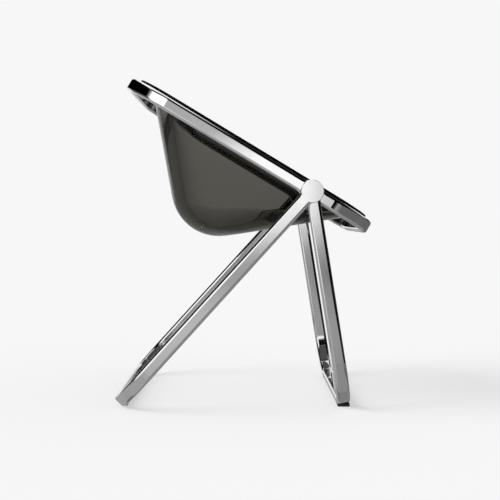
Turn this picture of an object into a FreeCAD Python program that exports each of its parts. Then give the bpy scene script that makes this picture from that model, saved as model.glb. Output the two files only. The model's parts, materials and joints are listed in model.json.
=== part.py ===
import FreeCAD, Part
import math
import os

# Folding armchair: two leg frames and a seat ring of polished bar turn on one hinge line,
# and a smoked bucket seat hangs in the ring. Millimetres and degrees, +X front, +Z up.
# The origin is on the floor, in the middle of the box round the open chair.

# Stance
hinge_height = 464.0
overall_width = 660.0
seat_slope = 31.2
rear_leg_lean = 42.24
front_leg_lean = 8.95
seat_back_reach = 461.0
seat_front_reach = 152.0

# Frame bar
bar_depth = 29.0
bar_thickness = 16.0
edge_round = 6.5
bend_radius = 100.0

# Hinge
leg_disc_diameter = 49.0
seat_disc_diameter = 50.0
leg_flare_radius = 14.0
seat_flare_radius = 26.0
plate_land = 3.0
washer_thickness = 1.0
washer_diameter = 25.0
axle_diameter = 14.0
axle_head_diameter = 26.0
axle_head_height = 4.7
axle_thread_diameter = 10.0
bush_wall = 2.0
cap_diameter = 47.0
cap_thickness = 3.0
cap_chamfer = 0.3
nut_width = 17.0
nut_height = 6.0
nut_recess_diameter = 24.0
running_clearance = 0.05
end_play = 0.2

# Stops of the fold: a pin on one disc runs in a round slot of the next
stop_pin_diameter = 6.0
stop_pin_radius = 16.5
front_pin_angle = 90.0
seat_pin_angle = 0.0
stop_pin_hold = 8.0
stop_pin_reach = 4.5
stop_slot_depth = 5.0
stop_slot_clearance = 0.2
stop_end_clearance = 0.05

# Bucket seat
shell_wall = 5.0
flange_thickness = 5.0
gasket_thickness = 1.0
gasket_width = 6.5
flange_land = 1.0
flange_end_inset = 19.0
rim_clearance = 0.3
rim_gap_back = 29.0
rim_gap_front = 9.0
rim_gap_side = 9.0
back_angle = 48.7
pan_angle = 40.2
back_bottom_radius = 106.0
side_draft = 14.0
side_bottom_radius = 70.0
side_bottom_angle = 11.0
rim_corner_radius = 82.0
pan_corner_radius = 64.0
front_lip = 14.0
shell_loops = 14

# Feet: a pad's inset runs inwards from the crossbar's bend, so a negative one reaches out under it
bar_lift = 1.5
glide_height = 6.0
glide_length = 40.0
front_glide_inset = -26.0
rear_glide_inset = 6.0
front_glide_width = 26.0
rear_glide_width = 14.0
glide_chamfer = 1.0
glide_gap = 0.2
screw_diameter = 4.0
screw_head_diameter = 8.0
screw_head_height = 2.5
screw_sink = 2.0
screw_hold = 10.0
screw_clearance = 0.1

# Places of the three layers on each side, as distances from the middle plane
half_width = overall_width / 2
rear_inner = half_width - bar_thickness
front_outer = rear_inner - washer_thickness
front_inner = front_outer - bar_thickness
seat_outer = front_inner - washer_thickness
seat_inner = seat_outer - bar_thickness

half_bar = bar_depth / 2
round_inset = half_bar - edge_round
rear_lean = math.radians(rear_leg_lean)
front_lean = math.radians(front_leg_lean)
slope = math.radians(seat_slope)
back_lean = math.radians(back_angle)
pan_lean = math.radians(pan_angle)


def flare_run(disc_radius, flare_radius):
    """Distance from the hinge line to where a disc's flare has become bar."""
    return math.sqrt((disc_radius + flare_radius) ** 2 - (half_bar + flare_radius) ** 2)


# Every hinge plate ends past the longest flare, with a straight land that the bar starts on
leg_flare_run = flare_run(leg_disc_diameter / 2, leg_flare_radius)
seat_flare_run = flare_run(seat_disc_diameter / 2, seat_flare_radius)
plate_reach = max(leg_flare_run, seat_flare_run) + plate_land

# Each leg reaches down until the rounded corner of its crossbar is bar_lift above the floor
foot_drop = hinge_height - bar_lift - edge_round
rear_reach = (foot_drop - round_inset * math.sin(rear_lean)) / math.cos(rear_lean) + edge_round
front_reach = (foot_drop - round_inset * math.sin(front_lean)) / math.cos(front_lean) + edge_round

# The fold ends when the frames lie in one plane
rear_fold = rear_leg_lean + front_leg_lean
seat_fold = 90.0 - seat_slope - front_leg_lean

# Levels of the seat, square to the plane of the ring
flange_bottom = half_bar + gasket_thickness
flange_top = flange_bottom + flange_thickness
flange_inset = edge_round + flange_land

# Furthest points fore and aft of the hinge, for the origin
rear_extent = (rear_reach - edge_round) * math.sin(rear_lean) + round_inset * math.cos(rear_lean) + edge_round
ring_extent = (seat_front_reach - edge_round) * math.cos(slope) + round_inset * math.sin(slope) + edge_round
rim_extent = (seat_front_reach - flange_end_inset) * math.cos(slope) + flange_top * math.sin(slope)
hinge_x = (rear_extent - max(ring_extent, rim_extent)) / 2

ORIGIN = FreeCAD.Vector(0, 0, 0)
ACROSS = FreeCAD.Vector(0, 1, 0)
UP = FreeCAD.Vector(0, 0, 1)
HINGE = FreeCAD.Vector(hinge_x, 0, hinge_height)


def vec(x, y, z):
    return FreeCAD.Vector(x, y, z)


def line(start, end):
    return Part.LineSegment(start, end).toShape()


def arc(start, middle, end):
    return Part.Arc(start, middle, end).toShape()


def disc(diameter, low, high):
    """Round bar across the chair, on the hinge line."""
    return Part.makeCylinder(diameter / 2, high - low, vec(0, low, 0), ACROSS)


def turned(shape, angle):
    """Shape turned about the hinge line, the front end going down."""
    shape.rotate(ORIGIN, ACROSS, angle)
    return shape


def mirrored(shape):
    return shape.mirror(ORIGIN, ACROSS)


def save(name, shape):
    """Moves a piece from the hinge to its place and writes it."""
    placed = shape.copy()
    placed.translate(HINGE)
    placed.exportStep(os.path.join("parts", name + ".step"))


def save_pair(name, left):
    save(name + "_left", left)
    save(name + "_right", mirrored(left))


def rounded_outline(back, front, half, radius):
    """Closed wire of a rectangle with round corners, along X from back to front."""
    side = half - radius
    start = back + radius
    stop = front - radius
    cut = radius * math.sqrt(0.5)
    edges = [
        line(vec(start, -half, 0), vec(stop, -half, 0)),
        arc(vec(stop, -half, 0), vec(stop + cut, -side - cut, 0), vec(front, -side, 0)),
        line(vec(front, -side, 0), vec(front, side, 0)),
        arc(vec(front, side, 0), vec(stop + cut, side + cut, 0), vec(stop, half, 0)),
        line(vec(stop, half, 0), vec(start, half, 0)),
        arc(vec(start, half, 0), vec(start - cut, side + cut, 0), vec(back, side, 0)),
        line(vec(back, side, 0), vec(back, -side, 0)),
        arc(vec(back, -side, 0), vec(start - cut, -side - cut, 0), vec(start, -half, 0)),
    ]
    return Part.Wire(edges)


def hoop_edges(half, reach, radius):
    """Edges of one side of a hoop bar, from the left end round to the right end."""
    bend = reach - radius
    side = half - radius
    cut = radius * math.sqrt(0.5)
    return [
        line(vec(plate_reach, half, 0), vec(bend, half, 0)),
        arc(vec(bend, half, 0), vec(bend + cut, side + cut, 0), vec(reach, side, 0)),
        line(vec(reach, side, 0), vec(reach, -side, 0)),
        arc(vec(reach, -side, 0), vec(bend + cut, -side - cut, 0), vec(bend, -half, 0)),
        line(vec(bend, -half, 0), vec(plate_reach, -half, 0)),
    ]


def rounded_prism(face, path, is_end):
    """Face pushed along a path, with every edge of its two flat sides rounded but the ends."""
    prism = face.extrude(path)
    axis = FreeCAD.Vector(path).normalize()
    low = face.CenterOfMass.dot(axis)
    levels = (low, low + path.Length)
    edges = []
    for edge in prism.Edges:
        middle = edge.valueAt((edge.FirstParameter + edge.LastParameter) / 2)
        heights = [point.Point.dot(axis) for point in edge.Vertexes] + [middle.dot(axis)]
        flat = any(all(abs(height - level) < 1e-6 for height in heights) for level in levels)
        if flat and not is_end(middle):
            edges.append(edge)
    return prism.makeFillet(edge_round, edges)


def hoop(half, reach):
    """U of bar in the XY plane: two sides from the hinge plates, two bends and a crossbar."""
    outside = hoop_edges(half, reach, bend_radius)
    inside = hoop_edges(half - bar_thickness, reach - bar_thickness, bend_radius - bar_thickness)
    ends = [
        line(vec(plate_reach, side * half, 0), vec(plate_reach, side * (half - bar_thickness), 0))
        for side in (1, -1)
    ]
    face = Part.Face(Part.Wire(Part.__sortEdges__(outside + inside + ends)))
    face.translate(vec(0, 0, -half_bar))
    return rounded_prism(face, UP * bar_depth, lambda middle: abs(middle.x - plate_reach) < 1e-6)


def plate_corner(disc_radius, flare_radius, along, up):
    """Half of a plate's outline beside one bar: from the disc's top or foot to the bar's end."""
    run = flare_run(disc_radius, flare_radius)
    rise = half_bar + flare_radius
    share = disc_radius / (disc_radius + flare_radius)
    centre = vec(along * run, 0, up * rise)
    on_disc = vec(along * run * share, 0, up * rise * share)
    on_bar = vec(along * run, 0, up * half_bar)
    aim = (on_disc - centre) + (on_bar - centre)
    middle = centre + aim.normalize() * flare_radius
    top = vec(0, 0, up * disc_radius)
    crown = (on_disc + top).normalize() * disc_radius
    return [
        arc(top, crown, on_disc),
        arc(on_disc, middle, on_bar),
        line(on_bar, vec(along * plate_reach, 0, up * half_bar)),
    ]


def plate_end(disc_radius, along, has_bar):
    """Closes a plate's outline at one end: square on a bar, or round."""
    if has_bar:
        return [line(vec(along * plate_reach, 0, half_bar), vec(along * plate_reach, 0, -half_bar))]
    return [arc(vec(0, 0, disc_radius), vec(along * disc_radius, 0, 0), vec(0, 0, -disc_radius))]


def hinge_plate(diameter, flare, inner, bars):
    """Disc on the hinge line that flares into the bars that leave it, on the left side."""
    radius = diameter / 2
    edges = []
    for along in (1, -1):
        edges += plate_end(radius, along, along in bars)
        if along in bars:
            edges += plate_corner(radius, flare, along, 1) + plate_corner(radius, flare, along, -1)
    face = Part.Face(Part.Wire(Part.__sortEdges__(edges)))
    face.translate(vec(0, inner, 0))
    return rounded_prism(face, ACROSS * bar_thickness, lambda middle: abs(abs(middle.x) - plate_reach) < 1e-6)


def frame(half, reaches, diameter, flare):
    """One frame of bar: a hoop for each end that reaches out, and a hinge plate on each side."""
    plate = hinge_plate(diameter, flare, half - bar_thickness, list(reaches))
    pieces = [mirrored(plate)]
    for along, reach in reaches.items():
        pieces.append(turned(hoop(half, reach), 0 if along > 0 else 180))
    return plate.fuse(pieces).removeSplitter()


def stop_slot(start, end, low, high):
    """Round-ended slot about the hinge line, between two angles up from the front."""
    half = stop_pin_diameter / 2 + stop_slot_clearance
    spare = math.degrees((stop_end_clearance - stop_slot_clearance) / stop_pin_radius)
    first = math.radians(start - spare)
    last = math.radians(end + spare)
    middle = (first + last) / 2

    def at(radius, angle):
        return vec(radius * math.cos(angle), low, radius * math.sin(angle))

    def past(angle, way):
        return at(stop_pin_radius, angle) + vec(-math.sin(angle), 0, math.cos(angle)) * half * way

    outer = stop_pin_radius + half
    inner = stop_pin_radius - half
    edges = [
        arc(at(outer, first), at(outer, middle), at(outer, last)),
        arc(at(outer, last), past(last, 1), at(inner, last)),
        arc(at(inner, last), at(inner, middle), at(inner, first)),
        arc(at(inner, first), past(first, -1), at(outer, first)),
    ]
    return Part.Face(Part.Wire(edges)).extrude(ACROSS * (high - low))


def stop_pin(angle, root, tip):
    """Pin beside the hinge line, at an angle up from the front."""
    turn = math.radians(angle)
    place = vec(stop_pin_radius * math.cos(turn), root, stop_pin_radius * math.sin(turn))
    return Part.makeCylinder(stop_pin_diameter / 2, tip - root, place, ACROSS)


def on_both_sides(shapes):
    return shapes + [mirrored(shape) for shape in shapes]


# Bucket seat


def back_point(angle, back, front, radius):
    """Distance from the front rim to the back of the bucket, along a ray that dips by an angle."""
    wall_way = vec(math.cos(back_lean), 0, -math.sin(back_lean))
    wall_in = vec(math.sin(back_lean), 0, math.cos(back_lean))
    pan_in = vec(-math.sin(pan_lean), 0, math.cos(pan_lean))
    ray = vec(-math.cos(angle), 0, -math.sin(angle))
    across = front - back
    # The bend's centre lies one radius inside both the back wall and the pan
    turn = math.sin(back_lean + pan_lean)
    down = (across * math.sin(pan_lean) - radius * (1 - wall_in.dot(pan_in))) / turn
    centre = wall_way * down + wall_in * radius - vec(across, 0, 0)
    on_wall = wall_way * down - vec(across, 0, 0)
    if angle <= math.atan2(-on_wall.z, -on_wall.x):
        return across * math.sin(back_lean) / math.sin(back_lean + angle)
    reach = centre.dot(ray)
    aside = centre.Length ** 2 - reach ** 2
    return reach + math.sqrt(max(radius ** 2 - aside, 0.0))


def bucket(inset, rise):
    """Solid bucket, its wall moved in by an inset and its rim raised, as a fan of loops."""
    back = -(seat_back_reach - bar_thickness - rim_gap_back) + inset / math.sin(back_lean)
    front = seat_front_reach - bar_thickness - rim_gap_front - inset / math.sin(pan_lean)
    half = seat_inner - rim_gap_side - inset
    bend = back_bottom_radius - inset
    fillet = side_bottom_radius - inset
    fillet_start = 1 - side_bottom_angle / pan_angle
    loops = []
    if rise:
        rim = rounded_outline(back, front, half, rim_corner_radius - inset)
        rim.translate(vec(0, 0, flange_top + rise))
        loops.append(rim)
    for step in range(shell_loops + 1):
        share = math.sin(math.pi / 2 * step / shell_loops)
        angle = pan_lean * share
        low = max(share - fillet_start, 0.0) / (1 - fillet_start)
        width = half - side_draft * share - fillet * (1 - math.sqrt(1 - low ** 2))
        corner = rim_corner_radius + (pan_corner_radius - rim_corner_radius) * low ** 2 - inset
        length = back_point(angle, back, front, bend)
        loop = rounded_outline(-length, -front_lip * share, width, corner)
        loop.rotate(ORIGIN, ACROSS, -math.degrees(angle))
        loop.translate(vec(front, 0, flange_top))
        loops.append(loop)
    return Part.makeLoft(loops, True, True)


def rim_plate(spread, thickness, level):
    """Flat plate of the rim's outline, its edge moved out by a spread."""
    end = flange_end_inset - spread
    side = flange_inset - spread
    back = end - seat_back_reach
    front = seat_front_reach - end
    outline = rounded_outline(back, front, seat_outer - side, bend_radius - side)
    outline.translate(vec(0, 0, level))
    return Part.Face(outline).extrude(UP * thickness)


def seat_shell():
    flange = rim_plate(0.0, flange_thickness, flange_bottom)
    hollow = bucket(shell_wall, flange_thickness)
    return bucket(0.0, 0.0).fuse(flange).cut(hollow)


def rim_gasket():
    outside = rim_plate(0.0, gasket_thickness, half_bar)
    return outside.cut(rim_plate(-gasket_width, gasket_thickness, half_bar))


# Feet


def glide(width, place):
    """Pad with a flat foot, bored and sunk for its screw."""
    corner = vec(place.x - width / 2, place.y - glide_length / 2, -hinge_height)
    pad = Part.makeBox(width, glide_length, glide_height, corner)
    foot = [edge for edge in pad.Edges if abs(edge.CenterOfMass.z + hinge_height) < 1e-6]
    pad = pad.makeChamfer(glide_chamfer, foot)
    floor = vec(place.x, place.y, -hinge_height)
    sink = Part.makeCylinder(screw_head_diameter / 2 + screw_clearance, screw_sink + screw_head_height, floor)
    hole = Part.makeCylinder(screw_diameter / 2 + screw_clearance, glide_height, floor)
    return pad.cut(sink).cut(hole)


def glide_seat(width, place):
    """Room cut out of a crossbar for its pad, and the hole for the pad's screw."""
    length = glide_length + 2 * glide_gap
    corner = vec(place.x - 2 * width, place.y - length / 2, -hinge_height)
    room = Part.makeBox(4 * width, length, glide_height, corner)
    floor = corner + vec(2 * width, length / 2, 0)
    hole = Part.makeCylinder(screw_diameter / 2, glide_height + screw_hold, floor)
    return room.fuse(hole)


def glide_screw(place):
    floor = vec(place.x, place.y, screw_sink - hinge_height)
    head = Part.makeCylinder(screw_head_diameter / 2, screw_head_height, floor)
    length = glide_height + screw_hold - screw_sink
    return head.fuse(Part.makeCylinder(screw_diameter / 2, length, floor))


def glide_place(half, x, inset):
    """Left pad's middle, its outer end an inset from where the crossbar's bend starts."""
    return vec(x, half - bend_radius - inset - glide_length / 2, 0)


def save_feet(name, width, place):
    save_pair(name + "_glide", glide(width, place))
    save(name + "_glide_screws", Part.makeCompound(on_both_sides([glide_screw(place)])))


# Hinge pieces, all on the left side

front_bore = disc(axle_diameter, front_inner, front_outer)
bush_diameter = axle_diameter + 2 * bush_wall
bush_bore = axle_diameter + 2 * running_clearance
cap_inner = half_width - cap_thickness
head_top = cap_inner - end_play
head_bottom = head_top - axle_head_height
rear_recess_floor = head_bottom - end_play
nut_top = seat_inner + nut_height + end_play
seat_recess_floor = nut_top + end_play
head_room = axle_head_diameter + 2 * end_play


def bush(low, high):
    return disc(bush_diameter, low, high).cut(disc(bush_bore, low, high))


def washer(low):
    high = low + washer_thickness
    return disc(washer_diameter, low, high).cut(disc(axle_diameter, low, high))


def axle():
    shank = disc(axle_diameter, nut_top, head_bottom)
    head = disc(axle_head_diameter, head_bottom, head_top)
    thread = disc(axle_thread_diameter, nut_top - nut_height, nut_top)
    return shank.fuse([head, thread]).removeSplitter()


def nut():
    """Six-sided nut on the inner end of the axle."""
    radius = nut_width / math.sqrt(3)
    low = nut_top - nut_height
    corners = [math.radians(60 * turn) for turn in range(7)]
    points = [vec(radius * math.cos(corner), low, radius * math.sin(corner)) for corner in corners]
    body = Part.Face(Part.makePolygon(points)).extrude(ACROSS * nut_height)
    return body.cut(disc(axle_thread_diameter, low, nut_top))


def cap():
    blank = disc(cap_diameter, cap_inner, half_width)
    rim = [edge for edge in blank.Edges if abs(edge.CenterOfMass.y - half_width) < 1e-6]
    return blank.makeChamfer(cap_chamfer, rim)


# Frames, turned to the open chair and cut for what they hold


def rear_leg_frame(foot):
    bars = frame(half_width, {1: rear_reach}, leg_disc_diameter, leg_flare_radius)
    cuts = [
        disc(bush_diameter, rear_inner, rear_recess_floor),
        disc(head_room, rear_recess_floor, cap_inner),
        disc(cap_diameter, cap_inner, half_width),
        stop_slot(front_pin_angle - rear_fold, front_pin_angle, rear_inner, rear_inner + stop_slot_depth),
        glide_seat(rear_glide_width, foot),
    ]
    return turned(bars, 90 + rear_leg_lean).cut(on_both_sides(cuts))


def front_leg_frame(foot):
    bars = frame(front_outer, {1: front_reach}, leg_disc_diameter, leg_flare_radius)
    cuts = [
        front_bore,
        stop_pin(front_pin_angle, front_outer - stop_pin_hold, front_outer),
        stop_slot(seat_pin_angle - seat_fold, seat_pin_angle, front_inner, front_inner + stop_slot_depth),
        glide_seat(front_glide_width, foot),
    ]
    return turned(bars, 90 - front_leg_lean).cut(on_both_sides(cuts))


def seat_ring():
    reaches = {1: seat_front_reach, -1: seat_back_reach}
    bars = frame(seat_outer, reaches, seat_disc_diameter, seat_flare_radius)
    bars = bars.cut(rim_plate(rim_clearance, seat_disc_diameter, half_bar))
    cuts = [
        disc(nut_recess_diameter, seat_inner, seat_recess_floor),
        disc(bush_diameter, seat_recess_floor, seat_outer),
        stop_pin(seat_pin_angle, seat_outer - stop_pin_hold, seat_outer),
    ]
    return turned(bars, seat_slope).cut(on_both_sides(cuts))


os.makedirs("parts", exist_ok=True)

rear_corner = (rear_reach - edge_round) * math.sin(rear_lean) - round_inset * math.cos(rear_lean)
rear_foot = glide_place(half_width, -rear_corner, rear_glide_inset)
front_foot = glide_place(front_outer, front_reach * math.sin(front_lean), front_glide_inset)

save("rear_leg_frame", rear_leg_frame(rear_foot))
save_pair("rear_bush", bush(rear_inner, rear_recess_floor))
save_pair("hinge_cap", cap())
save_feet("rear", rear_glide_width, rear_foot)

save("front_leg_frame", front_leg_frame(front_foot))
front_pin = stop_pin(front_pin_angle, front_outer - stop_pin_hold, rear_inner + stop_pin_reach)
save_pair("front_stop_pin", front_pin)
save_pair("hinge_axle", axle())
save_pair("axle_nut", nut())
save_pair("outer_washer", washer(front_outer))
save_pair("inner_washer", washer(seat_outer))
save_feet("front", front_glide_width, front_foot)

save("seat_ring", seat_ring())
save("seat_shell", turned(seat_shell(), seat_slope))
save("rim_gasket", turned(rim_gasket(), seat_slope))
save_pair("seat_bush", bush(seat_recess_floor, seat_outer))
seat_pin = stop_pin(seat_pin_angle, seat_outer - stop_pin_hold, front_inner + stop_pin_reach)
save_pair("seat_stop_pin", seat_pin)
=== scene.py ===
"""Folding armchair: finishes, bucket seat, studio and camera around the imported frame.

Metres, +X to the chair's front, +Y to the sitter's left, +Z up.
"""
import json
import logging
import math
from dataclasses import dataclass
from enum import Enum
from typing import Any, Union

import bmesh
import bpy
import numpy as np
from mathutils import Matrix, Vector


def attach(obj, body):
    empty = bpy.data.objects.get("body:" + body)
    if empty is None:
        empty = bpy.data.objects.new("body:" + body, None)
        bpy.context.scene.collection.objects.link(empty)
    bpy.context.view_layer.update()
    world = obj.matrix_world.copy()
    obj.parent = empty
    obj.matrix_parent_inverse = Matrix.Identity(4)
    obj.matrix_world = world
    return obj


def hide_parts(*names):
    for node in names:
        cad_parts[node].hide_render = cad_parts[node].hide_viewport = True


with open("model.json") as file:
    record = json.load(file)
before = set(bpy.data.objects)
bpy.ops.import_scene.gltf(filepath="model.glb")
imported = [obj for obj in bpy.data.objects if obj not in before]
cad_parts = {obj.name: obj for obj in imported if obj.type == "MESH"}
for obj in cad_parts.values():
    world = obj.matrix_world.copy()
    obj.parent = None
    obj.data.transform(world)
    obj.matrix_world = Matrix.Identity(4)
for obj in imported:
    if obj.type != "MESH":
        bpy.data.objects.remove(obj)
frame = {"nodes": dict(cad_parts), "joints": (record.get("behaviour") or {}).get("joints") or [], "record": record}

log = logging.getLogger("folding_armchair")

Colour = tuple[float, float, float]
Point = tuple[float, float, float]
Span = tuple[float, float]
Numbers = Union[float, np.ndarray]
Rings = list[np.ndarray]

BLACK: Colour = (0.0, 0.0, 0.0)
WHITE: Colour = (1.0, 1.0, 1.0)
QUARTER_TURN = math.pi / 2
DEGREES = math.degrees(1.0)

# Sockets of a Mix node that mixes colours
MIX_FACTOR, MIX_LOW, MIX_HIGH, MIX_RESULT = 0, 6, 7, 2


class Signal:
    """Output socket that takes part in Python expressions, each of which adds a Math node."""

    def __init__(self, graph: "Graph", socket: bpy.types.NodeSocket) -> None:
        """Wraps a socket of a graph."""
        self.graph = graph
        self.socket = socket

    def _math(self, operation: str, *values: "Value") -> "Signal":
        """Adds one Math node and gives its output."""
        return self.graph.node("ShaderNodeMath", {"operation": operation}, dict(enumerate(values)))

    def __add__(self, other: "Value") -> "Signal":
        """Sum."""
        return self._math("ADD", self, other)

    def __radd__(self, other: "Value") -> "Signal":
        """Sum with a number on the left."""
        return self._math("ADD", other, self)

    def __sub__(self, other: "Value") -> "Signal":
        """Difference."""
        return self._math("SUBTRACT", self, other)

    def __rsub__(self, other: "Value") -> "Signal":
        """Difference with a number on the left."""
        return self._math("SUBTRACT", other, self)

    def __mul__(self, other: "Value") -> "Signal":
        """Product."""
        return self._math("MULTIPLY", self, other)

    def __rmul__(self, other: "Value") -> "Signal":
        """Product with a number on the left."""
        return self._math("MULTIPLY", other, self)

    def __truediv__(self, other: "Value") -> "Signal":
        """Quotient."""
        return self._math("DIVIDE", self, other)

    def __abs__(self) -> "Signal":
        """Size without the sign."""
        return self._math("ABSOLUTE", self)

    def maximum(self, other: "Value") -> "Signal":
        """Larger of two values."""
        return self._math("MAXIMUM", self, other)

    def sine(self) -> "Signal":
        """Sine of an angle in radians."""
        return self._math("SINE", self)

    def arcsine(self) -> "Signal":
        """Angle in degrees that has this sine."""
        return self._math("ARCSINE", self) * DEGREES

    def angle_from(self, other: "Value") -> "Signal":
        """Angle in degrees of the point with this value aside and the other ahead."""
        return self._math("ARCTAN2", self, other) * DEGREES

    def smooth_step(self, low: float, high: float) -> "Signal":
        """Soft switch from 0 to 1 between two levels."""
        settings = {"interpolation_type": "SMOOTHSTEP"}
        sockets = {"Value": self, "From Min": low, "From Max": high}
        return self.graph.node("ShaderNodeMapRange", settings, sockets)


Value = Union[Signal, float]


class Graph:
    """Node tree of one material or world."""

    def __init__(self, tree: bpy.types.NodeTree) -> None:
        """Takes over a tree and empties it."""
        self.tree = tree
        tree.nodes.clear()

    def node(
        self,
        kind: str,
        settings: dict[str, Any] | None = None,
        sockets: dict[str | int, Any] | None = None,
        output: str | int = 0,
    ) -> Signal | None:
        """Adds a node.

        Args:
            kind: Blender's node type.
            settings: The node's own properties, and a ramp's stops, which are set first.
            sockets: Values or links for its inputs, by name or number.
            output: Which output to give.

        Returns:
            The wanted output, or none where the node ends the tree.
        """
        made = self.tree.nodes.new(kind)
        for name, value in (settings or {}).items():
            if name == "stops":
                self._set_stops(made.color_ramp, value)
            else:
                setattr(made, name, value)
        for key, value in (sockets or {}).items():
            if isinstance(value, Signal):
                self.tree.links.new(value.socket, made.inputs[key])
            else:
                made.inputs[key].default_value = value
        return Signal(self, made.outputs[output]) if made.outputs else None

    @staticmethod
    def _set_stops(ramp: bpy.types.ColorRamp, stops: list[Span]) -> None:
        """Gives a ramp its grey stops, as pairs of place and level."""
        while len(ramp.elements) < len(stops):
            ramp.elements.new(1.0)
        for element, (place, level) in zip(ramp.elements, stops):
            element.position = place
            element.color = (level, level, level, 1.0)

    def vector(self, operation: str, *values: Any, output: str | int = 0) -> Signal:
        """Adds one Vector Math node and gives its output."""
        return self.node("ShaderNodeVectorMath", {"operation": operation}, dict(enumerate(values)), output)

    def mix_colour(self, factor: Value, low: Colour, high: Colour) -> Signal:
        """Colour between two colours."""
        sockets = {MIX_FACTOR: factor, MIX_LOW: (*low, 1.0), MIX_HIGH: (*high, 1.0)}
        return self.node("ShaderNodeMix", {"data_type": "RGBA"}, sockets, MIX_RESULT)

    def place(self) -> Signal:
        """Place on the piece, in metres, which stays with the piece as it moves."""
        return self.node("ShaderNodeTexCoord", output="Object")

    def axes(self, vector: Signal) -> list[Signal]:
        """The three parts of a vector."""
        first = self.node("ShaderNodeSeparateXYZ", None, {0: vector})
        return [Signal(self, socket) for socket in first.socket.node.outputs]

    def principled(self, sockets: dict[str, Any]) -> Signal:
        """Adds the general surface shader."""
        return self.node("ShaderNodeBsdfPrincipled", None, sockets)

    def finish(self, shader: Signal, volume: Signal | None = None) -> None:
        """Ends the tree in a material output."""
        sockets = {"Surface": shader}
        if volume:
            sockets["Volume"] = volume
        self.node("ShaderNodeOutputMaterial", None, sockets)


@dataclass(frozen=True)
class Noise:
    """Soft noise on a piece, as fine as its scale and detail say.

    Its stretch scales the place along each axis. Between its levels it switches softly from 0 to 1.
    """

    scale: float
    detail: float
    levels: Span | None = None
    stretch: Point | None = None

    def on(self, graph: Graph) -> Signal:
        """Adds the noise to a graph."""
        place = graph.place()
        if self.stretch:
            place = graph.vector("MULTIPLY", place, self.stretch)
        sockets = {"Vector": place, "Scale": self.scale, "Detail": self.detail}
        noise = graph.node("ShaderNodeTexNoise", None, sockets)
        return noise.smooth_step(*self.levels) if self.levels else noise


@dataclass(frozen=True)
class Relief:
    """Bump of a finish: how strongly it shows, and how deep it is."""

    strength: float
    depth: float

    def normal(self, height: Signal) -> Signal:
        """Normal that follows a height."""
        sockets = {"Height": height, "Strength": self.strength, "Distance": self.depth}
        return height.graph.node("ShaderNodeBump", None, sockets)


def new_material(name: str) -> tuple[bpy.types.Material, Graph]:
    """Makes an empty node material.

    Args:
        name: The material's name.

    Returns:
        The material and its graph.
    """
    material = bpy.data.materials.new(name)
    material.use_nodes = True
    return material, Graph(material.node_tree)


def add_object(name: str, data: Any) -> bpy.types.Object:
    """Puts an object with the given data into the scene."""
    made = bpy.data.objects.new(name, data)
    bpy.context.scene.collection.objects.link(made)
    return made


def add_mesh(name: str, mesh: bmesh.types.BMesh) -> bpy.types.Object:
    """Puts a mesh into the scene as an object of the same name, and frees the working mesh."""
    data = bpy.data.meshes.new(name)
    mesh.to_mesh(data)
    mesh.free()
    return add_object(name, data)


@dataclass(frozen=True)
class PolishedAluminium:
    """Aluminium bar polished to a mirror, with buffing haze, hair scratches and a faint ripple."""

    colour: Colour = (0.90, 0.90, 0.905)
    hazed_colour: Colour = (0.875, 0.878, 0.885)
    haze: Noise = Noise(22.0, 4.0, (0.35, 0.75))
    scratches: Noise = Noise(900.0, 3.0, (0.60, 0.72), (1.0, 1.0, 0.08))
    ripple: Noise = Noise(30.0, 1.0)
    haze_tint: float = 0.7
    scratch_tint: float = 0.3
    mirror_roughness: float = 0.05
    haze_roughness: float = 0.04
    scratch_roughness: float = 0.05
    scratch_height: float = 0.02
    relief: Relief = Relief(0.01, 0.001)

    def material(self, name: str) -> bpy.types.Material:
        """Makes the finish as a material of the given name."""
        material, graph = new_material(name)
        haze = self.haze.on(graph)
        scratch = self.scratches.on(graph)
        ripple = self.ripple.on(graph)
        tint = haze * self.haze_tint + scratch * self.scratch_tint
        roughness = self.mirror_roughness + haze * self.haze_roughness + scratch * self.scratch_roughness
        sockets = {
            "Base Color": graph.mix_colour(tint, self.colour, self.hazed_colour),
            "Metallic": 1.0,
            "Roughness": roughness,
            "Normal": self.relief.normal(ripple + scratch * self.scratch_height),
        }
        graph.finish(graph.principled(sockets))
        return material


@dataclass(frozen=True)
class SmokedAcrylic:
    """Clear acrylic with a smoke tint all through it, a gloss skin and faint handling smears."""

    index: float = 1.49
    sheen: float = 0.2
    smears: Noise = Noise(9.0, 5.0, (0.5, 0.8), (1.0, 1.0, 0.5))
    smear_roughness: float = 0.008
    orange_peel: Noise = Noise(14.0, 1.0)
    relief: Relief = Relief(0.01, 0.002)
    absorption: float = 287.0
    absorption_colour: Colour = (0.208, 0.195, 0.150)

    def material(self, name: str) -> bpy.types.Material:
        """Makes the finish as a material of the given name."""
        material, graph = new_material(name)
        sockets = {
            "Base Color": (*WHITE, 1.0),
            "Roughness": self.smears.on(graph) * self.smear_roughness,
            "IOR": self.index,
            "Specular Tint": (self.sheen, self.sheen, self.sheen, 1.0),
            "Transmission Weight": 1.0,
            "Normal": self.relief.normal(self.orange_peel.on(graph)),
        }
        tint = {"Color": (*self.absorption_colour, 1.0), "Density": self.absorption}
        graph.finish(graph.principled(sockets), graph.node("ShaderNodeVolumeAbsorption", None, tint))
        return material


@dataclass(frozen=True)
class BlackRubber:
    """Matte black rubber with a fine grain and a little pale dust in it."""

    colour: Colour = (0.012, 0.012, 0.013)
    dust_colour: Colour = (0.045, 0.043, 0.040)
    dust: Noise = Noise(120.0, 5.0, (0.5, 0.85))
    roughness: float = 0.55
    dust_roughness: float = 0.25
    grain: Noise = Noise(2500.0, 2.0)
    relief: Relief = Relief(0.25, 0.0002)

    def material(self, name: str) -> bpy.types.Material:
        """Makes the finish as a material of the given name."""
        material, graph = new_material(name)
        dust = self.dust.on(graph)
        sockets = {
            "Base Color": graph.mix_colour(dust, self.colour, self.dust_colour),
            "Roughness": self.roughness + dust * self.dust_roughness,
            "Normal": self.relief.normal(self.grain.on(graph)),
        }
        graph.finish(graph.principled(sockets))
        return material


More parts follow.
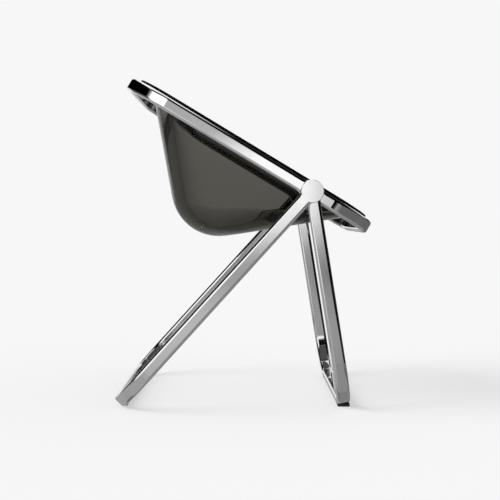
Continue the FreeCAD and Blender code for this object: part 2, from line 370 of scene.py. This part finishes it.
@dataclass(frozen=True)
class TurnedSteel:
    """Steel turned on a lathe, with fine rings about the hinge line and a little tarnish."""

    hinge: Point
    colour: Colour = (0.56, 0.56, 0.57)
    tarnish_colour: Colour = (0.38, 0.36, 0.34)
    tarnish: Noise = Noise(180.0, 4.0, (0.5, 0.8))
    roughness: float = 0.24
    ring_roughness: float = 0.08
    tarnish_roughness: float = 0.15
    ring_pitch: float = 0.0006
    relief: Relief = Relief(0.15, 0.0001)

    def rings(self, graph: Graph) -> Signal:
        """Waves from 0 to 1 about the hinge line, one per pitch."""
        centred = graph.vector("ADD", graph.place(), (-self.hinge[0], 0.0, -self.hinge[2]))
        radius = graph.vector("LENGTH", graph.vector("MULTIPLY", centred, (1.0, 0.0, 1.0)), output="Value")
        return (radius * (2 * math.pi / self.ring_pitch)).sine() * 0.5 + 0.5

    def material(self, name: str) -> bpy.types.Material:
        """Makes the finish as a material of the given name."""
        material, graph = new_material(name)
        rings = self.rings(graph)
        tarnish = self.tarnish.on(graph)
        sockets = {
            "Base Color": graph.mix_colour(tarnish, self.colour, self.tarnish_colour),
            "Metallic": 1.0,
            "Roughness": self.roughness + rings * self.ring_roughness + tarnish * self.tarnish_roughness,
            "Normal": self.relief.normal(rings),
        }
        graph.finish(graph.principled(sockets))
        return material


@dataclass(frozen=True)
class MouldedPlastic:
    """Dark bearing plastic with a moulded grain and a slight polish where it rubs."""

    colour: Colour = (0.035, 0.035, 0.036)
    rubbed_colour: Colour = (0.075, 0.075, 0.075)
    rubbing: Noise = Noise(220.0, 3.0, (0.45, 0.75))
    roughness: float = 0.38
    rubbing_polish: float = 0.12
    grain: Noise = Noise(1800.0, 2.0)
    grain_roughness: float = 0.08
    relief: Relief = Relief(0.12, 0.0001)

    def material(self, name: str) -> bpy.types.Material:
        """Makes the finish as a material of the given name."""
        material, graph = new_material(name)
        grain = self.grain.on(graph)
        rubbed = self.rubbing.on(graph)
        sockets = {
            "Base Color": graph.mix_colour(rubbed, self.colour, self.rubbed_colour),
            "Roughness": self.roughness - rubbed * self.rubbing_polish + grain * self.grain_roughness,
            "Normal": self.relief.normal(grain),
        }
        graph.finish(graph.principled(sockets))
        return material


class Slot(Enum):
    """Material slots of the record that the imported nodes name."""

    POLISHED_BAR = "polished_bar"
    POLISHED_CAP = "polished_cap"
    SMOKED_SHELL = "smoked_shell"
    GASKET_RUBBER = "gasket_rubber"
    GLIDE_RUBBER = "glide_rubber"
    HINGE_STEEL = "hinge_steel"
    BEARING_PLASTIC = "bearing_plastic"


@dataclass
class Dressing:
    """Finish of each material slot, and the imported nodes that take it."""

    hinge: Point

    def __post_init__(self) -> None:
        """Makes one material per slot."""
        finishes = {
            Slot.POLISHED_BAR: PolishedAluminium(),
            Slot.POLISHED_CAP: PolishedAluminium(haze=Noise(60.0, 4.0, (0.35, 0.75)), haze_roughness=0.03),
            Slot.SMOKED_SHELL: SmokedAcrylic(),
            Slot.GASKET_RUBBER: BlackRubber(),
            Slot.GLIDE_RUBBER: BlackRubber(colour=(0.016, 0.016, 0.017), roughness=0.62),
            Slot.HINGE_STEEL: TurnedSteel(self.hinge),
            Slot.BEARING_PLASTIC: MouldedPlastic(),
        }
        self.materials = {slot: finish.material(slot.value) for slot, finish in finishes.items()}

    def wear(self, piece: bpy.types.Object, slot: Slot) -> None:
        """Gives a piece the one material of its slot."""
        piece.data.materials.clear()
        piece.data.materials.append(self.materials[slot])

    def dress_nodes(self) -> None:
        """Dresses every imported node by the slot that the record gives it."""
        for subpart in frame["record"]["subparts"]:
            slot = Slot(subpart["material_slot"])
            self.wear(frame["nodes"][subpart["node"]], slot)
            log.info("dressed %s in %s", subpart["node"], slot.value)


@dataclass
class BucketSeat:
    """Smoked shell: a flat flange on the ring, and a bucket whose loops fan out from its front rim."""

    hinge: Point
    slope: float = math.radians(31.2)
    ring_back: float = 0.461
    ring_front: float = 0.152
    ring_half: float = 0.296
    ring_bend: float = 0.100
    flange_inset: float = 0.0075
    flange_end_inset: float = 0.019
    flange_bottom: float = 0.0155
    flange_top: float = 0.0205
    flange_round: float = 0.002
    lip_round: float = 0.006
    wall: float = 0.005
    rim_back: float = 0.416
    rim_front: float = 0.127
    rim_half: float = 0.271
    rim_corner: float = 0.082
    pan_corner: float = 0.064
    back_angle: float = math.radians(48.7)
    pan_angle: float = math.radians(40.2)
    back_bend: float = 0.106
    side_draft: float = 0.014
    side_bend: float = 0.070
    side_bend_angle: float = math.radians(11.0)
    front_lip: float = 0.014
    pan_scales: tuple[float, ...] = (0.97, 0.9, 0.75, 0.5, 0.25, 0.05)
    corner_steps: int = 20
    side_steps: int = 28
    wall_steps: int = 56
    round_steps: int = 6
    search_steps: int = 400

    def __post_init__(self) -> None:
        """Works out where each point of a loop sits: on a corner's arc, or part way to the next."""
        turns: list[float] = []
        shares: list[float] = []
        for corner in range(4):
            start = corner * QUARTER_TURN
            for step in range(self.corner_steps):
                turns.append(start + QUARTER_TURN * step / self.corner_steps)
                shares.append(0.0)
            for step in range(self.side_steps):
                turns.append(start + QUARTER_TURN)
                shares.append(step / self.side_steps)
        quarter = np.repeat(np.arange(4), self.corner_steps + self.side_steps)
        self.turns = np.array(turns)
        self.side_shares = np.array(shares)
        self.corner_x = np.array([1.0, -1.0, -1.0, 1.0])[quarter]
        self.corner_y = np.array([1.0, 1.0, -1.0, -1.0])[quarter]
        self.next_x = np.array([-1.0, -1.0, 1.0, 1.0])[quarter]
        self.next_y = np.array([1.0, -1.0, -1.0, 1.0])[quarter]

    def loop(self, back: Numbers, front: Numbers, half: Numbers, radius: Numbers) -> np.ndarray:
        """Points of a rectangle with round corners, as rows of X and Y.

        Args:
            back: Its rear edge, one number or one per point, as the next three.
            front: Its front edge.
            half: Half its width.
            radius: Its corners' radius.

        Returns:
            One row per point, the same corner and share of a side in every loop.
        """
        middle = (front + back) / 2
        reach = (front - back) / 2 - radius
        side = half - radius
        share = self.side_shares
        x = middle + reach * (self.corner_x * (1 - share) + self.next_x * share) + radius * np.cos(self.turns)
        y = side * (self.corner_y * (1 - share) + self.next_y * share) + radius * np.sin(self.turns)
        return np.stack([x, y], axis=1)

    def back_reach(self, angle: np.ndarray, across: float, bend: float) -> np.ndarray:
        """Distance from the front rim to the bucket's back, along rays that dip by an angle.

        Args:
            angle: The dip of each ray.
            across: The rim's length, front to back.
            bend: Radius of the bend between back and pan.

        Returns:
            The distances: to the straight wall, then to the bend that leads into the pan.
        """
        turn = self.back_angle + self.pan_angle
        down = (across * math.sin(self.pan_angle) - bend * (1 - math.cos(turn))) / math.sin(turn)
        wall_x = down * math.cos(self.back_angle) - across
        wall_z = -down * math.sin(self.back_angle)
        centre_x = wall_x + bend * math.sin(self.back_angle)
        centre_z = wall_z + bend * math.cos(self.back_angle)
        along = -centre_x * np.cos(angle) - centre_z * np.sin(angle)
        aside = centre_x**2 + centre_z**2 - along**2
        on_bend = along + np.sqrt(np.maximum(bend**2 - aside, 0.0))
        on_wall = across * math.sin(self.back_angle) / np.sin(self.back_angle + angle)
        return np.where(angle <= math.atan2(-wall_z, -wall_x), on_wall, on_bend)

    def skin(self, share: np.ndarray, inset: float) -> np.ndarray:
        """Points of the bucket's skin, one per place round the loop.

        Args:
            share: How far each loop has dipped, from 0 at the rim to 1 at the pan.
            inset: How far the skin lies inside the outer one.

        Returns:
            Rows of X, Y and Z, flat on the seat's own plane.
        """
        back = -self.rim_back + inset / math.sin(self.back_angle)
        front = self.rim_front - inset / math.sin(self.pan_angle)
        angle = self.pan_angle * share
        bend_share = self.side_bend_angle / self.pan_angle
        low = np.maximum(share - (1 - bend_share), 0.0) / bend_share
        drawn_in = (self.side_bend - inset) * (1 - np.sqrt(np.maximum(1 - low**2, 0.0)))
        half = self.rim_half - inset - self.side_draft * share - drawn_in
        corner = self.rim_corner + (self.pan_corner - self.rim_corner) * low**2 - inset
        length = self.back_reach(angle, front - back, self.back_bend - inset)
        flat = self.loop(-length, -self.front_lip * share, half, corner)
        x = front + flat[:, 0] * np.cos(angle)
        z = self.flange_top + flat[:, 0] * np.sin(angle)
        return np.stack([x, flat[:, 1], z], axis=1)

    def flange_loop(self, level: float) -> np.ndarray:
        """Loop of the flange's outline at a level."""
        back = self.flange_end_inset - self.ring_back
        front = self.ring_front - self.flange_end_inset
        flat = self.loop(back, front, self.ring_half - self.flange_inset, self.ring_bend - self.flange_inset)
        return np.column_stack([flat, np.full(len(flat), level)])

    def first_share(self, inset: float, drop: float, by_level: bool) -> np.ndarray:
        """Dip at which the skin has come a given way from its rim, for each place round the loop.

        Args:
            inset: Which skin.
            drop: The way.
            by_level: Whether the way is a drop in level or a distance from the rim.

        Returns:
            One share per place.
        """
        tries = np.linspace(0.0, 1.0, self.search_steps)
        rim = self.skin(np.zeros_like(self.turns), inset)
        ways = []
        for tried in tries:
            points = self.skin(np.full_like(self.turns, tried), inset)
            ways.append(rim[:, 2] - points[:, 2] if by_level else np.linalg.norm(points - rim, axis=1))
        columns = np.maximum.accumulate(np.array(ways), axis=0).T
        return np.array([np.interp(drop, column, tries) for column in columns])

    def skin_rings(self, first: np.ndarray, inset: float) -> Rings:
        """Rings of one skin from a first dip down to the pan, and across the pan to its middle."""
        rings = []
        for step in range(self.wall_steps + 1):
            part = math.sin(QUARTER_TURN * step / self.wall_steps)
            rings.append(self.skin(first + (1 - first) * part, inset))
        edge = rings[-1]
        middle = edge.mean(axis=0)
        return rings + [middle + (edge - middle) * scale for scale in self.pan_scales]

    def rounded(self, before: np.ndarray, corner: np.ndarray, after: np.ndarray) -> Rings:
        """Rings that lead from one ring to another round a corner ring."""
        rings = []
        for step in range(self.round_steps + 1):
            part = step / self.round_steps
            rings.append(before * (1 - part) ** 2 + corner * 2 * part * (1 - part) + after * part**2)
        return rings

    @staticmethod
    def towards(start: np.ndarray, end: np.ndarray, distance: float) -> np.ndarray:
        """Points at a distance from a ring on the straight way to another."""
        way = end - start
        return start + way / np.linalg.norm(way, axis=1, keepdims=True) * distance

    def edge_rings(self, before: np.ndarray, edge: np.ndarray, after: np.ndarray) -> Rings:
        """Rings that round an edge of the flange between two neighbours."""
        start = self.towards(edge, before, self.flange_round)
        return self.rounded(start, edge, self.towards(edge, after, self.flange_round))

    def rings(self) -> Rings:
        """All rings of the shell, from the middle of the inner pan over the flange to the outer pan."""
        still = np.zeros_like(self.turns)
        inner_rim = self.skin(still, self.wall)
        inner_first = self.first_share(self.wall, self.lip_round, by_level=False)
        inner = self.skin_rings(inner_first, self.wall)
        outer_first = self.first_share(0.0, self.flange_top - self.flange_bottom, by_level=True)
        outer = self.skin_rings(outer_first, 0.0)
        top = self.flange_loop(self.flange_top)
        bottom = self.flange_loop(self.flange_bottom)
        lip = self.rounded(inner[0], inner_rim, self.towards(inner_rim, top, self.lip_round))
        top_edge = self.edge_rings(inner_rim, top, bottom)
        bottom_edge = self.edge_rings(top, bottom, outer[0])
        return inner[:0:-1] + lip + top_edge + bottom_edge + outer

    def build(self) -> bpy.types.Object:
        """Makes the shell's mesh in its place on the open chair."""
        placed = Matrix.Translation(self.hinge) @ Matrix.Rotation(self.slope, 4, "Y")
        mesh = bmesh.new()
        loops = [[mesh.verts.new(placed @ Vector(point)) for point in ring] for ring in self.rings()]
        for first, second in zip(loops, loops[1:]):
            for place, point in enumerate(first):
                near = place - 1
                mesh.faces.new((first[near], point, second[place], second[near]))
        mesh.faces.new(loops[0])
        mesh.faces.new(loops[-1])
        bmesh.ops.recalc_face_normals(mesh, faces=mesh.faces)
        for face in mesh.faces:
            face.smooth = True
        return add_mesh("bucket_shell", mesh)

    def dress(self, dressing: Dressing) -> None:
        """Builds the shell, dresses it and lets it ride on the seat in its node's place."""
        shell = self.build()
        dressing.wear(shell, Slot.SMOKED_SHELL)
        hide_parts("seat_shell")
        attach(shell, "seat")
        log.info("built %s with %d faces", shell.name, len(shell.data.polygons))


def gloss_card_material(name: str) -> tuple[bpy.types.Material, Graph]:
    """Makes an empty material for a card whose light no lamp sampling looks for."""
    material, graph = new_material(name)
    material.cycles.emission_sampling = "NONE"
    return material, graph


def glow(graph: Graph, level: Signal, peak: float) -> None:
    """Ends a card's material in grey light, which is as strong as the peak where the level is 1."""
    colour = graph.mix_colour(level, BLACK, WHITE)
    graph.finish(graph.node("ShaderNodeEmission", None, {"Color": colour, "Strength": peak}))


def only_gloss_sees(card: bpy.types.Object) -> None:
    """Hides a card from all but reflections."""
    for ray in ("camera", "diffuse", "transmission", "volume_scatter", "shadow"):
        setattr(card, f"visible_{ray}", False)


@dataclass(frozen=True)
class Panel:
    """Panel of the reflection tent between two bearings and two heights, in degrees.

    A bearing of 0 points to the photograph's side of the chair, and 90 to its front.
    """

    left: float
    right: float
    low: float
    high: float
    soft: float
    level: float

    def cover(self, bearing: Signal, height: Signal) -> Signal:
        """Share of the panel in a direction, from 0 beside it to 1 on it.

        Args:
            bearing: The direction's bearing.
            height: Its angle above the horizon.

        Returns:
            The share, soft at the panel's edges.
        """
        share = bearing.smooth_step(self.left - self.soft, self.left + self.soft)
        share *= 1 - bearing.smooth_step(self.right - self.soft, self.right + self.soft)
        share *= height.smooth_step(self.low - self.soft, self.low + self.soft)
        return share * (1 - height.smooth_step(self.high - self.soft, self.high + self.soft))


@dataclass
class ReflectionTent:
    """Studio tent round the chair that only gloss shows: pale panels, black flags and a graded card.

    Each panel covers those before it. The card is graded by height, and falls off at its sides.
    """

    radius: float = 8.0
    subdivisions: int = 5
    middle_height: float = 0.41
    surround: float = 0.9
    peak: float = 1.25
    panels: tuple[Panel, ...] = (
        Panel(-200.0, 200.0, -100.0, -9.0, 3.0, 0.36),
        Panel(-14.0, -4.0, -18.0, -9.0, 6.0, 0.42),
        Panel(4.0, 170.0, -100.0, -5.0, 3.0, 0.27),
        Panel(22.0, 170.0, -31.0, -6.0, 5.0, 0.13),
        Panel(-200.0, -72.0, -100.0, -54.0, 6.0, 0.16),
        Panel(70.0, 200.0, -100.0, -48.0, 9.0, 0.22),
        Panel(-48.0, -3.0, 3.0, 32.0, 3.0, 1.2),
        Panel(-52.0, -7.0, -6.0, 3.0, 3.0, 0.95),
        Panel(-132.0, -54.0, -9.0, 10.0, 5.0, 0.03),
        Panel(-165.0, -48.0, 9.0, 64.0, 7.0, 0.0),
        Panel(-50.0, 8.0, 28.0, 70.0, 3.0, 0.0),
        Panel(7.0, 82.0, -5.0, 70.0, 2.0, 0.0),
        Panel(-3.0, 8.0, 8.0, 70.0, 2.0, 0.0),
        Panel(82.0, 116.0, -5.0, 70.0, 3.0, 0.02),
        Panel(82.0, 165.0, -5.0, 12.0, 3.0, 0.03),
        Panel(82.0, 170.0, 34.0, 70.0, 4.0, 0.03),
        Panel(-200.0, 200.0, 72.0, 100.0, 3.0, 0.7),
    )
    card: Panel = Panel(-9.0, 7.0, -13.0, 8.0, 0.5, 1.0)
    card_stops: tuple[Span, ...] = (
        (-13.0, 0.38),
        (-11.0, 0.40),
        (-7.2, 0.54),
        (-5.2, 0.47),
        (-3.8, 0.35),
        (-2.5, 0.40),
        (-1.8, 0.57),
        (-0.5, 0.90),
        (0.6, 1.04),
        (3.65, 1.10),
        (4.15, 0.80),
        (5.05, 0.44),
        (8.0, 0.40),
    )
    card_fall: Span = (3.6, 5.2)
    card_side_level: float = 0.60

    def brightness(self, graph: Graph) -> Signal:
        """Brightness of the tent by direction from its middle.

        Args:
            graph: The tent's material.

        Returns:
            The brightness, where 1 is white.
        """
        x, y, z = graph.axes(graph.place())
        bearing = x.angle_from(0 - y)
        aside = x.angle_from(abs(y))
        height = (z / self.radius).arcsine()
        level: Value = self.surround
        for panel in self.panels:
            share = panel.cover(bearing, height)
            level = level * (1 - share) + share * panel.level
        span = self.card.high - self.card.low
        stops = [((angle - self.card.low) / span, shade) for angle, shade in self.card_stops]
        graded = graph.node("ShaderNodeValToRGB", {"stops": stops}, {"Fac": (height - self.card.low) / span})
        graded = graded * (1 - aside.smooth_step(*self.card_fall) * (1 - self.card_side_level))
        share = self.card.cover(aside, height)
        return level * (1 - share) + graded * share

    def build(self) -> None:
        """Makes the tent as a sphere that only reflections see."""
        material, graph = gloss_card_material("reflection_tent")
        glow(graph, self.brightness(graph) / self.peak, self.peak)
        mesh = bmesh.new()
        bmesh.ops.create_icosphere(mesh, subdivisions=self.subdivisions, radius=self.radius)
        tent = add_mesh("reflection_tent", mesh)
        tent.data.materials.append(material)
        tent.location = (0.0, 0.0, self.middle_height)
        only_gloss_sees(tent)


@dataclass
class Studio:
    """Pale floor and backdrop, a broad light from the left, what gloss reflects, and the camera.

    No light path ends by chance before its sure bounces, which keeps grain out of the clear shell.
    """

    sure_bounces: int = 16
    backdrop: float = 0.93
    sky_share: float = 0.5
    ceiling: float = 0.25
    ceiling_heights: Span = (0.3, 0.6)
    sun_height: float = math.radians(28.0)
    sun_side: float = math.radians(-80.0)
    sun_spread: float = math.radians(50.0)
    floor_size: float = 60.0
    floor_glow: float = 0.5
    floor_mottle: Noise = Noise(0.6, 2.0)
    floor_tint: float = 0.002
    top_card_size: Span = (0.9, 1.05)
    top_card_place: Point = (-0.05, 0.0, 1.3)
    top_card_fade: float = 0.25
    top_card_peak: float = 1.0
    camera_place: Point = (-0.0019, -2.8312, 0.41436)
    focal_pixels: float = 1199.1
    image_pixels: float = 500.0
    optical_axis: Span = (243.0, 215.0)
    sensor: float = 36.0

    def build_world(self) -> None:
        """World that is pale to the camera and to reflections, and a soft sky to the rest.

        To rays that have come through clear plastic it is pale too, but dark overhead.
        """
        world = bpy.data.worlds.new("studio")
        bpy.context.scene.world = world
        world.use_nodes = True
        graph = Graph(world.node_tree)
        camera, glossy, clear = (
            graph.node("ShaderNodeLightPath", output=f"Is {kind} Ray")
            for kind in ("Camera", "Glossy", "Transmission")
        )
        seen = camera.maximum(glossy).maximum(clear)
        overhead = graph.axes(graph.node("ShaderNodeTexCoord", output="Generated"))[2]
        dark = clear * overhead.smooth_step(*self.ceiling_heights) * (self.backdrop - self.ceiling)
        strength = seen * (self.backdrop - self.sky_share) + self.sky_share - dark
        sockets = {"Color": (*WHITE, 1.0), "Strength": strength}
        background = graph.node("ShaderNodeBackground", None, sockets)
        graph.node("ShaderNodeOutputWorld", None, {"Surface": background})

    def build_sun(self) -> None:
        """Broad soft lamp from the upper left, as strong as makes up the sky to a plain level."""
        lamp = bpy.data.lights.new("broad_light", "SUN")
        lamp.angle = self.sun_spread
        lamp.energy = (1 - self.sky_share) * math.pi / math.sin(self.sun_height)
        sun = add_object("broad_light", lamp)
        sun.rotation_euler = (QUARTER_TURN - self.sun_height, 0.0, self.sun_side)
        sun.visible_glossy = sun.visible_transmission = False

    def build_floor(self) -> None:
        """Pale floor under the feet, which takes the chair's shadow."""
        material, graph = new_material("pale_floor")
        level = self.backdrop
        dim, bright = (level - self.floor_tint,) * 3, (level + self.floor_tint,) * 3
        colour = graph.mix_colour(self.floor_mottle.on(graph), dim, bright)
        lit = graph.node("ShaderNodeBsdfDiffuse", None, {"Color": colour})
        glowing = graph.node("ShaderNodeEmission", None, {"Color": (level, level, level, 1.0)})
        seen = graph.node("ShaderNodeLightPath", output="Is Camera Ray")
        graph.finish(graph.node("ShaderNodeMixShader", None, {0: seen * self.floor_glow, 1: lit, 2: glowing}))
        floor = self.plane("floor", (self.floor_size, self.floor_size))
        floor.data.materials.append(material)
        floor.visible_glossy = False

    @staticmethod
    def plane(name: str, size: Span) -> bpy.types.Object:
        """Flat rectangle about the origin, facing up."""
        x, y = size[0] / 2, size[1] / 2
        data = bpy.data.meshes.new(name)
        data.from_pydata([(-x, -y, 0.0), (x, -y, 0.0), (x, y, 0.0), (-x, y, 0.0)], [], [(0, 1, 2, 3)])
        return add_object(name, data)

    def build_top_card(self) -> None:
        """Lit card above the chair's back, which fades out towards its front and shows only in gloss."""
        material, graph = gloss_card_material("top_card")
        x, _, _ = graph.axes(graph.place())
        half = self.top_card_size[0] / 2
        glow(graph, 1 - x.smooth_step(half - self.top_card_fade, half), self.top_card_peak)
        card = self.plane("top_card", self.top_card_size)
        card.location = self.top_card_place
        card.data.materials.append(material)
        only_gloss_sees(card)

    def build_camera(self) -> None:
        """Camera square to the chair's right side, shifted to the photograph's framing."""
        data = bpy.data.cameras.new("camera")
        data.sensor_width = self.sensor
        data.lens = self.focal_pixels / self.image_pixels * self.sensor
        data.shift_x = 0.5 - self.optical_axis[0] / self.image_pixels
        data.shift_y = self.optical_axis[1] / self.image_pixels - 0.5
        camera = add_object("camera", data)
        camera.location = self.camera_place
        camera.rotation_euler = (QUARTER_TURN, 0.0, 0.0)
        bpy.context.scene.camera = camera

    def build(self) -> None:
        """Builds the whole studio."""
        bpy.context.scene.view_settings.view_transform = "Standard"
        bpy.context.scene.cycles.min_light_bounces = self.sure_bounces
        self.build_world()
        self.build_sun()
        self.build_floor()
        self.build_camera()
        ReflectionTent().build()
        self.build_top_card()
        log.info("studio ready")


def main() -> None:
    """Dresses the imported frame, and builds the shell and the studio."""
    logging.basicConfig(level=logging.INFO, format="%(message)s")
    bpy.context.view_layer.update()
    hinge = tuple(frame["joints"][0]["pos_m"])
    dressing = Dressing(hinge)
    dressing.dress_nodes()
    BucketSeat(hinge).dress(dressing)
    Studio().build()


if __name__ == "__main__":
    main()
